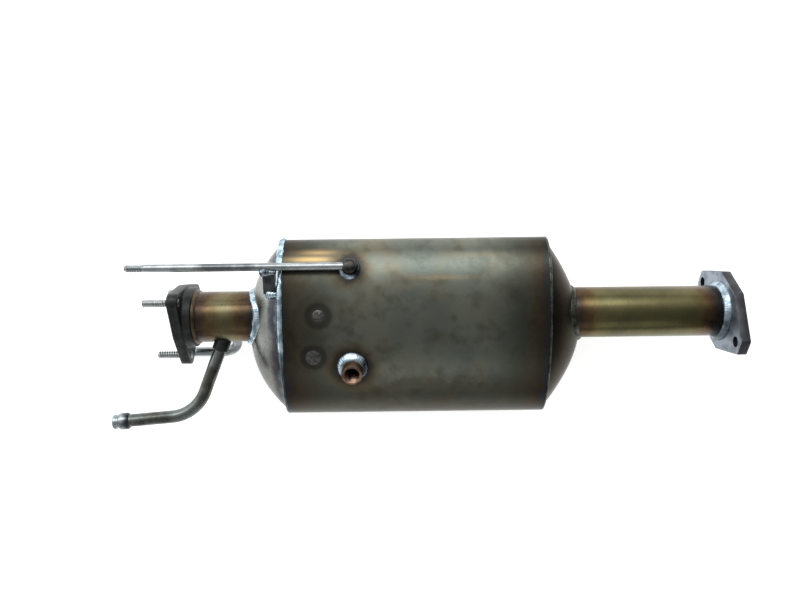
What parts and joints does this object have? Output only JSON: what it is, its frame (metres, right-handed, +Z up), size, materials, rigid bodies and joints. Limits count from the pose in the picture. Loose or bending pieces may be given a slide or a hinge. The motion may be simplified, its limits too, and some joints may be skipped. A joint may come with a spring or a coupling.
{
  "type": "diesel particulate filter",
  "caption": "Oval stainless exhaust filter canister with flanged inlet and outlet pipes, a support rod, a sensor boss and pressure tap pipes.",
  "frame": {"origin": "middle of the part's underside, on the floor that it rests on", "axes": "+X with the gas from the inlet flange to the outlet flange, +Y across the canister toward the side of the support rod, +Z up"},
  "size_m": [0.6194, 0.1876, 0.1061],
  "materials": {
    "shell_steel": "satin ferritic stainless, darkened and straw-tinted by heat",
    "cap_steel": "satin pressed stainless with heat tint",
    "pipe_steel": "stainless tube with straw and olive heat bands",
    "flange_steel": "dark oxidised steel plate",
    "weld_metal": "bright rippled weld bead",
    "zinc_plate": "bright zinc plate",
    "rod_steel": "drawn grey steel",
    "tube_steel": "dark blue-grey steel tube",
    "ceramic": "matt porous ceramic",
    "mat_fibre": "pale expanding ceramic fibre mat",
    "knitted_wire": "knitted stainless wire"
  },
  "bodies": {
    "root": {"canister_shell": "shell_steel", "inlet_baffle": "shell_steel", "inlet_cap": "cap_steel", "outlet_cap": "cap_steel", "sensor_boss": "cap_steel", "inlet_pipe": "pipe_steel", "outlet_pipe": "pipe_steel", "inlet_flange": "flange_steel", "outlet_flange": "flange_steel", "front_pressure_boss": "flange_steel", "inlet_seam_weld": "weld_metal", "outlet_seam_weld": "weld_metal", "inlet_pipe_weld": "weld_metal", "outlet_pipe_weld": "weld_metal", "inlet_flange_weld": "weld_metal", "outlet_flange_weld": "weld_metal", "sensor_boss_weld": "weld_metal", "rod_boss_weld": "weld_metal", "bracket_rod_weld": "weld_metal", "bracket_foot_weld": "weld_metal", "plug_weld_upper": "weld_metal", "plug_weld_lower": "weld_metal", "rear_pressure_weld": "weld_metal", "shell_seam_weld": "weld_metal", "inlet_stud_upper": "zinc_plate", "inlet_stud_rear": "zinc_plate", "inlet_stud_lower": "zinc_plate", "hose_nipple": "zinc_plate", "support_rod": "rod_steel", "rod_boss": "rod_steel", "rod_bracket": "rod_steel", "front_pressure_pipe": "tube_steel", "rear_pressure_pipe": "tube_steel", "filter_monolith": "ceramic", "support_mat": "mat_fibre", "inlet_mat_ring": "knitted_wire", "outlet_mat_ring": "knitted_wire"}
  },
  "joints": []
}
